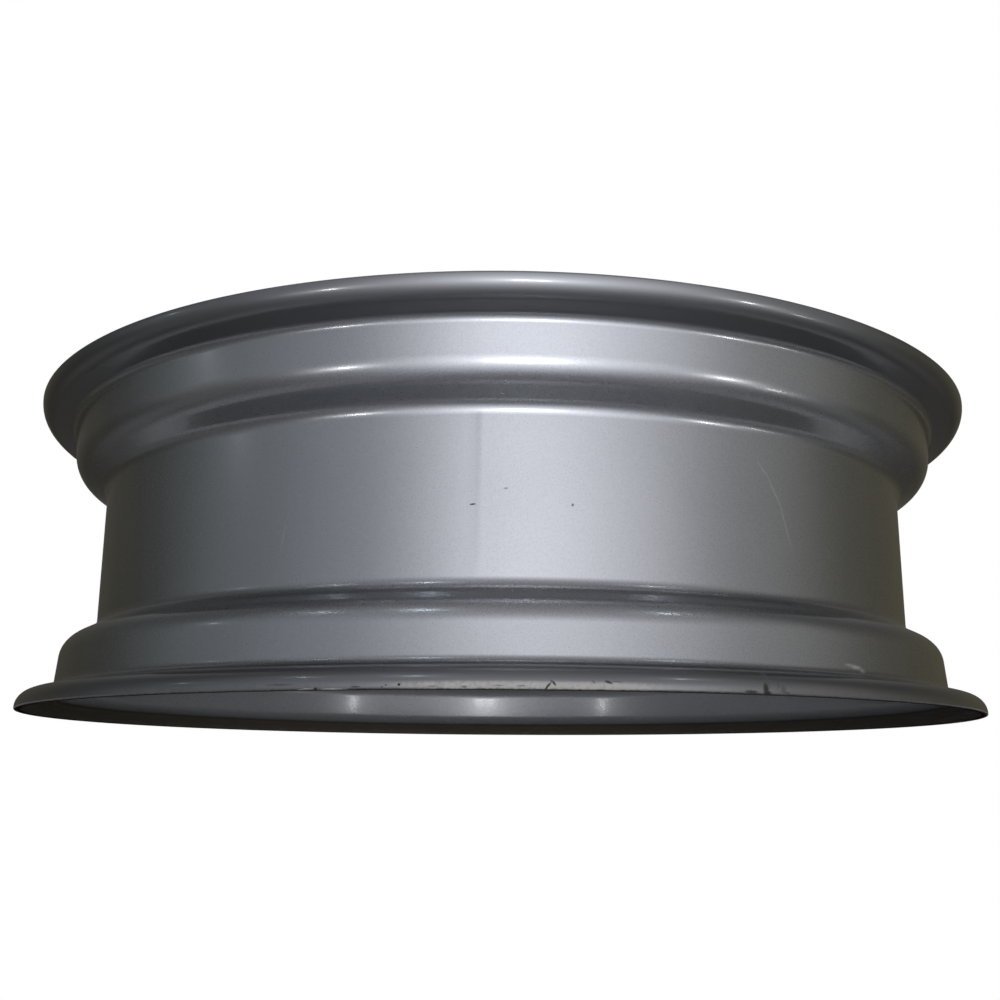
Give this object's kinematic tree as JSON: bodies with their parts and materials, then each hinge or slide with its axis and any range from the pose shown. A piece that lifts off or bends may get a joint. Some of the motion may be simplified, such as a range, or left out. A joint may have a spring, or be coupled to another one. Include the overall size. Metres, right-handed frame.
{
  "type": "wheel rim",
  "caption": "One-piece drop-centre steel wheel rim for a narrow tractor tyre, with rolled flanges, tapered bead seats and a deep well, painted silver; it lies on its flange.",
  "frame": {"origin": "centre of the circle that the lower flange stands on", "axes": "+Z along the wheel's axis, up; +Y points away from the camera side, to the valve hole"},
  "size_m": [0.7619, 0.762, 0.2361],
  "materials": {
    "silver_paint": "glossy silver metallic enamel over rolled steel, slightly worn along the lower flange"
  },
  "bodies": {
    "root": {"rim_band": "silver_paint"}
  },
  "joints": []
}
